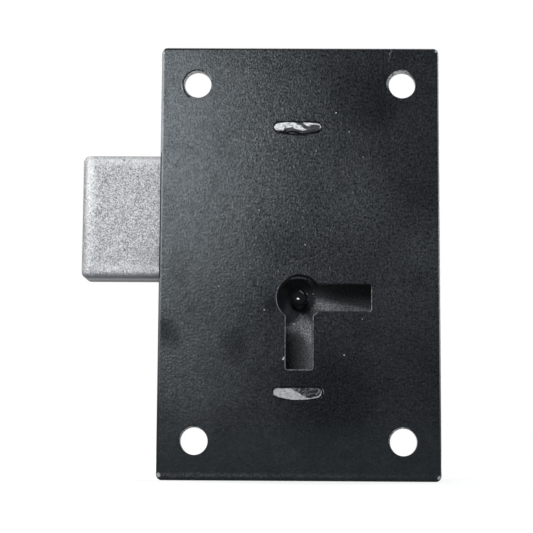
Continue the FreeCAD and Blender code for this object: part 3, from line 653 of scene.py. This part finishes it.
def plated_bolt():
    """Dull plating with pits, with painted highlights along the nose and the top edge, painted shade under
    the lower rounding and low down by the plate, and a painted light line on the lower edge.
    """
    g = Graph("plated_bolt")
    low, high = (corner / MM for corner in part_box("bolt"))
    coarse = g.noise(1.1, 4.0, 0.7)
    grain = g.noise(4.1, 2.0, 0.7, g.stretched(1, 1, 1, (7.0, 3.0, 1.0)))
    grain = g.times(g.plus(g.noise(5.2, 3.0, 0.8), grain), 0.5)
    mottle = g.noise(0.45, 4.0, 0.65)
    pits = g.specks(0.5, 0.13, 0.36, (3.1, 0.7, 5.3))
    flecks = g.specks(1.7, 0.20, 0.25, (1.7, 2.2, 0.4))
    dark_flecks = g.specks(1.3, 0.22, 0.25, (5.7, 1.2, 2.4))
    worn = g.times(g.minus(coarse, 0.5), 1.6)
    nose = g.minus(g.x, low.x)
    top = g.minus(high.z, g.z)
    foot = g.minus(g.z, low.z)
    # Painted highlights: a band along the rounded nose, brightest high up, and one along the top edge, where
    # the light falls.
    nose_highlight = g.times(g.ramp(g.plus(nose, worn), 2.9, 1.1), g.ramp(nose, 0.15, 1.0))
    nose_highlight = g.times(nose_highlight, g.ramp_linear(g.z, 3.0, 12.0, 0.35, 1.0), g.ramp(grain, 0.38, 0.56, 0.5, 1.0))
    upper = g.times(g.ramp(g.plus(top, worn), 2.4, 0.9), g.ramp(top, 0.1, 0.7), 0.42)
    rim = g.either(g.ramp(nose, 0.22, 0.06), g.ramp(top, 0.16, 0.04))
    # Painted shade under the lower rounding, which faces away from the light; above it, a fainter lighter
    # band.
    under = g.ramp(g.plus(foot, g.times(worn, 0.3)), 1.2, 0.1)
    lower = g.times(g.ramp(g.plus(foot, worn), 3.0, 1.9), g.ramp(foot, 1.0, 1.6), 0.25)
    # Painted reflection: a thin light line along the lower edge.
    line = g.times(g.ramp(foot, 0.1, 0.02), g.ramp(g.y, 3.4, 3.9), g.ramp(g.y, 5.6, 5.0))
    height = g.plus(g.times(coarse, 0.6), grain)
    height = g.minus(height, g.times(pits, 1.6))
    tone = g.mix(g.ramp(grain, 0.405, 0.595), rgb(0.11, 0.115, 0.125), rgb(0.515, 0.51, 0.515))
    tone = g.mix(g.ramp(mottle, 0.35, 0.65, 0.0, 0.30), tone, rgb(0.20, 0.196, 0.194))
    tone = g.mix(g.times(dark_flecks, 0.5), tone, rgb(0.12, 0.118, 0.117))
    tone = g.mix(g.times(flecks, g.ramp(g.z, 6.0, 1.0, 0.5, 0.85)), tone, rgb(0.66, 0.65, 0.645))
    tone = g.mix(g.times(g.either(nose_highlight, upper, lower), 0.75), tone, rgb(0.68, 0.67, 0.66))
    tone = g.mix(g.times(pits, 0.85), tone, rgb(0.05, 0.05, 0.052))
    # Painted shade on the bolt low down where it meets the plate.
    shaded = g.ramp(g.plus(g.reach(-25.2, 0.6), g.times(worn, 0.5)), 5.0, 0.6, 0.0, 0.34)
    tone = g.mix(shaded, tone, rgb(0.14, 0.145, 0.15))
    tone = g.mix(g.times(under, 0.88), tone, rgb(0.092, 0.101, 0.111))
    tone = g.mix(g.times(line, 0.5), tone, rgb(0.35, 0.345, 0.34))
    tone = g.mix(g.times(rim, 0.6), tone, rgb(0.14, 0.14, 0.142))
    return g.finish(
        Base_Color=tone,
        Metallic=0.3,
        Roughness=g.ramp(coarse, 0.3, 0.7, 0.56, 0.68),
        Normal=g.bump(height, 0.02),
    )


def black_outside(g, tone, rough):
    """Tone and roughness of a post whose riveted head is painted with the case."""
    painted = g.ramp(g.y, CASE_BACK - 0.02, CASE_BACK + 0.02)
    paint = g.mix(g.noise(3.0, 2.0), rgb(0.004, 0.005, 0.006), rgb(0.016, 0.018, 0.021))
    return g.mix(painted, tone, paint), g.either(rough, g.times(painted, 0.4)), g.minus(1.0, painted)


def turned_steel():
    """Bare turned steel of the posts, painted with the case where it shows outside."""
    g = Graph("turned_steel")
    rings = g.noise(9.0, 2.0, 0.5, g.stretched(0.15, 1.0, 0.15))
    tone = g.mix(rings, rgb(0.34, 0.34, 0.35), rgb(0.60, 0.60, 0.61))
    tone, rough, metal = black_outside(g, tone, g.ramp(rings, 0.3, 0.7, 0.25, 0.4))
    return g.finish(Base_Color=tone, Metallic=metal, Roughness=rough, Normal=g.bump(rings, 0.006))


def brass():
    """Rolled brass of the levers."""
    g = Graph("brass")
    streaks = g.noise(6.0, 3.0, 0.6, g.stretched(0.12, 1.0, 1.0))
    cloud = g.noise(0.5, 3.0, 0.6)
    tone = g.mix(cloud, rgb(0.55, 0.37, 0.13), rgb(0.80, 0.60, 0.27))
    tone = g.mix(g.ramp(streaks, 0.55, 0.75, 0, 0.35), tone, rgb(0.40, 0.27, 0.10))
    return g.finish(
        Base_Color=tone,
        Metallic=1.0,
        Roughness=g.ramp(streaks, 0.3, 0.7, 0.24, 0.42),
        Normal=g.bump(streaks, 0.008),
    )


def spring_steel():
    """Blue grey spring steel of the leaves."""
    g = Graph("spring_steel")
    streaks = g.noise(8.0, 2.0, 0.5, g.stretched(0.1, 1.0, 0.1))
    tone = g.mix(streaks, rgb(0.20, 0.22, 0.27), rgb(0.48, 0.50, 0.55))
    return g.finish(
        Base_Color=tone,
        Metallic=1.0,
        Roughness=g.ramp(streaks, 0.3, 0.7, 0.18, 0.32),
        Normal=g.bump(streaks, 0.004),
    )


made = {
    "black_paint_plate": paint_plate(),
    "black_paint_case": paint_case(),
    "black_paint_pin": paint_pin(),
    "plated_bolt": plated_bolt(),
    "steel_posts": turned_steel(),
    "brass_levers": brass(),
    "spring_steel": spring_steel(),
}


def dress_nodes():
    """Give every solid the material of its slot."""
    for part in frame["record"]["subparts"]:
        node = frame["nodes"][part["node"]]
        node.data.materials.clear()
        node.data.materials.append(made[part["material_slot"]])


def leaf_spring(number):
    """Smooth-shaded copy of a lever's leaf spring, shown in place of its solid, which is hidden."""
    solid = f"lever_spring_{number}"
    mesh = frame["nodes"][solid].data.copy()
    for face in mesh.polygons:
        face.use_smooth = True
    mesh.set_sharp_from_angle(angle=math.radians(35))
    piece = bpy.data.objects.new(f"leaf_spring_{number}", mesh)
    scene.collection.objects.link(piece)
    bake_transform(piece)
    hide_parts(solid)


def background_rays(tree):
    """Largest of the light path's camera, glossy and transmission flags."""
    nodes = tree.nodes
    rays = nodes.new("ShaderNodeLightPath")
    value = rays.outputs["Is Camera Ray"]
    for flag in ("Is Glossy Ray", "Is Transmission Ray"):
        larger = nodes.new("ShaderNodeMath")
        larger.operation = "MAXIMUM"
        tree.links.new(value, larger.inputs[0])
        tree.links.new(rays.outputs[flag], larger.inputs[1])
        value = larger.outputs[0]
    return value


def studio():
    """World that is white to look at and lights the scene softly."""
    world = bpy.data.worlds.new("studio")
    scene.world = world
    world.use_nodes = True
    tree = world.node_tree
    tree.nodes.clear()
    output = tree.nodes.new("ShaderNodeOutputWorld")
    seen = tree.nodes.new("ShaderNodeBackground")
    seen.inputs[0].default_value = WHITE
    seen.inputs[1].default_value = 1.0
    light = tree.nodes.new("ShaderNodeBackground")
    light.inputs[0].default_value = WORLD_COLOUR
    light.inputs[1].default_value = WORLD_STRENGTH
    mix = tree.nodes.new("ShaderNodeMixShader")
    tree.links.new(background_rays(tree), mix.inputs[0])
    tree.links.new(light.outputs[0], mix.inputs[1])
    tree.links.new(seen.outputs[0], mix.inputs[2])
    tree.links.new(mix.outputs[0], output.inputs[0])


def floor():
    """Pale floor under the plate's lower edge, which keeps the shadow and turns white far away."""
    mesh = bpy.data.meshes.new("floor")
    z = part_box("mounting_plate")[0].z
    signs = ((-1, -1), (1, -1), (1, 1), (-1, 1))
    corners = [(x * FLOOR_HALF_SIZE, y * FLOOR_HALF_SIZE, z) for x, y in signs]
    mesh.from_pydata(corners, [], [(0, 1, 2, 3)])
    plane = bpy.data.objects.new("floor", mesh)
    scene.collection.objects.link(plane)
    g = Graph("floor")
    distance = g.add("ShaderNodeVectorMath", {0: g.place}, operation="LENGTH").outputs["Value"]
    mottle = g.noise(0.05, 3.0)
    shade = g.mix(mottle, *(rgb(grey, grey, grey) for grey in FLOOR_GREYS))
    diffuse = g.add("ShaderNodeBsdfDiffuse", {"Color": shade})
    strength = g.ramp(distance, *FLOOR_FADE, *FLOOR_GLOW)
    glow = g.add("ShaderNodeEmission", {"Color": WHITE, "Strength": strength})
    both = g.add("ShaderNodeAddShader", {0: diffuse.outputs[0], 1: glow.outputs[0]})
    shaders = {0: background_rays(g.tree), 1: diffuse.outputs[0], 2: both.outputs[0]}
    mix = g.add("ShaderNodeMixShader", shaders)
    g.tree.links.new(mix.outputs[0], g.output.inputs[0])
    mesh.materials.append(g.material)


def lamp(name, place, aim, size, power, colour):
    """Round area lamp that looks at a point."""
    data = bpy.data.lights.new(name, "AREA")
    data.shape = "DISK"
    data.size = size
    data.energy = power
    data.color = colour
    thing = bpy.data.objects.new(name, data)
    thing.location = place
    thing.rotation_euler = (Vector(aim) - Vector(place)).to_track_quat("-Z", "Y").to_euler()
    scene.collection.objects.link(thing)


def camera():
    """Camera at the photograph's viewing angle."""
    place = Vector(CAMERA_PLACE) * MM
    pitch, yaw, roll = (math.radians(angle) for angle in (CAMERA_PITCH, CAMERA_YAW, CAMERA_ROLL))
    right0 = Vector((math.cos(yaw), math.sin(yaw), 0))
    ahead0 = Vector((-math.sin(yaw), math.cos(yaw), 0))
    ahead = ahead0 * math.cos(pitch) + Vector((0, 0, math.sin(pitch)))
    up0 = -ahead0 * math.sin(pitch) + Vector((0, 0, math.cos(pitch)))
    right = right0 * math.cos(roll) + up0 * math.sin(roll)
    up = up0 * math.cos(roll) - right0 * math.sin(roll)
    data = bpy.data.cameras.new("camera")
    data.sensor_width = SENSOR_WIDTH
    data.lens = SENSOR_WIDTH * FOCAL_PIXELS / IMAGE_PIXELS
    data.clip_start = CLIP_START
    thing = bpy.data.objects.new("camera", data)
    turn = Matrix((right, up, -ahead)).transposed().to_4x4()
    thing.matrix_world = Matrix.Translation(place) @ turn
    scene.collection.objects.link(thing)
    scene.camera = thing


dress_nodes()
for number in range(1, LEVER_COUNT + 1):
    leaf_spring(number)
studio()
floor()
camera()
for row in LAMPS:
    lamp(*row)
